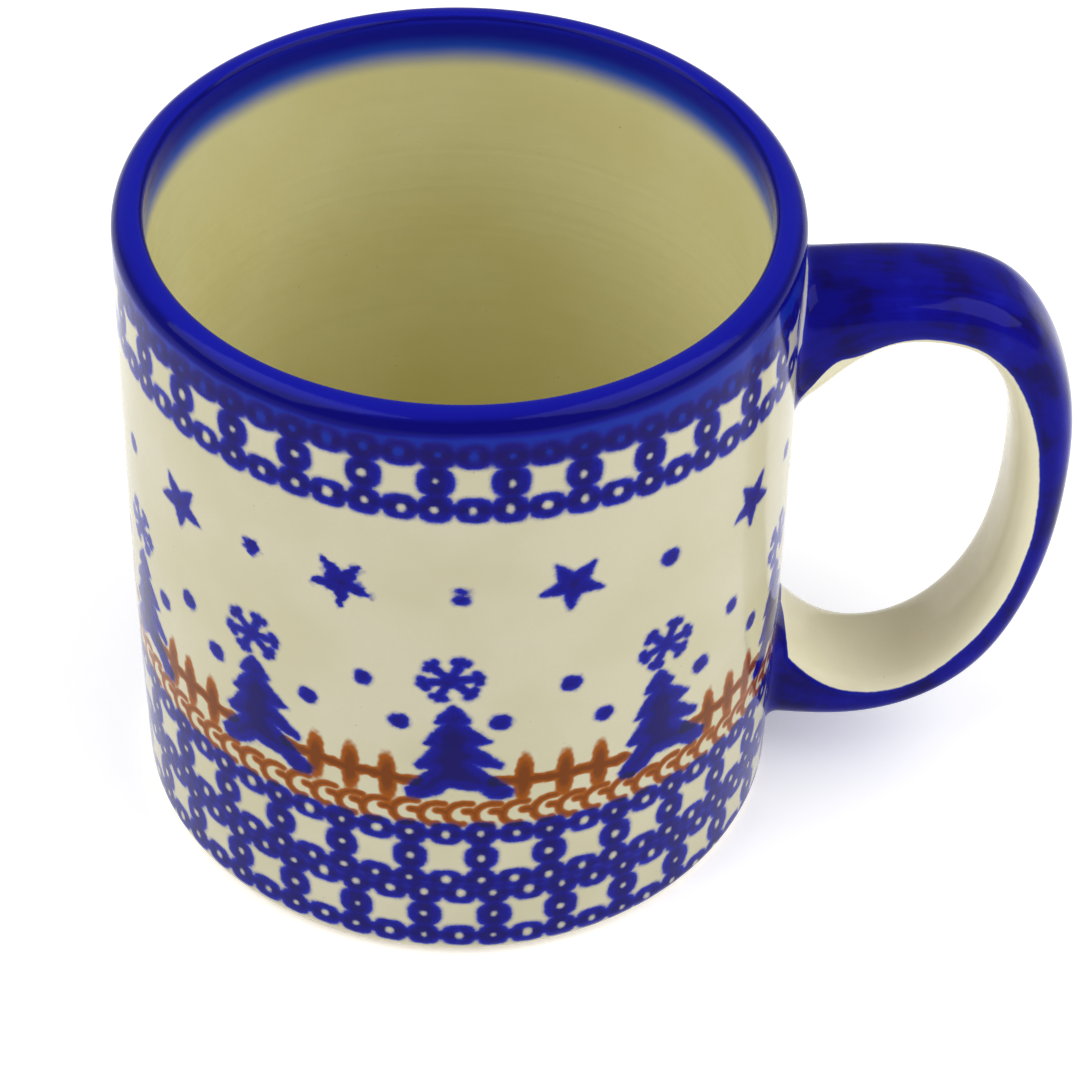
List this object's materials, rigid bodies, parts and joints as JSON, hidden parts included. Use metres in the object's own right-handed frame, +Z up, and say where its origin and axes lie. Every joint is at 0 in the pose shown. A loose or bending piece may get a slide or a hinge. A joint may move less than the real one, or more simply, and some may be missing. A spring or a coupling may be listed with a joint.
{
  "type": "stoneware mug",
  "caption": "Straight-sided glazed stoneware mug with a strap handle, a cobalt lip and sponge-stamped winter bands.",
  "frame": {"origin": "centre of the foot ring, on the table", "axes": "+Z up the cup's axis, +X from the axis towards the handle"},
  "size_m": [0.1312, 0.0924, 0.0988],
  "materials": {
    "stoneware": "matte, bare fired clay",
    "stoneware_slip": "smooth, fired slip",
    "painted_glaze": "clear gloss over cream ground with cobalt and rust painting",
    "lining_glaze": "clear gloss over cream",
    "cobalt_glaze": "clear gloss over brushed cobalt"
  },
  "bodies": {
    "root": {"cup_body": "stoneware", "handle": "stoneware", "upper_luting_slip": "stoneware_slip", "lower_luting_slip": "stoneware_slip", "outer_glaze": "painted_glaze", "inner_glaze": "lining_glaze", "handle_glaze": "cobalt_glaze", "base_glaze": "lining_glaze"}
  },
  "joints": []
}
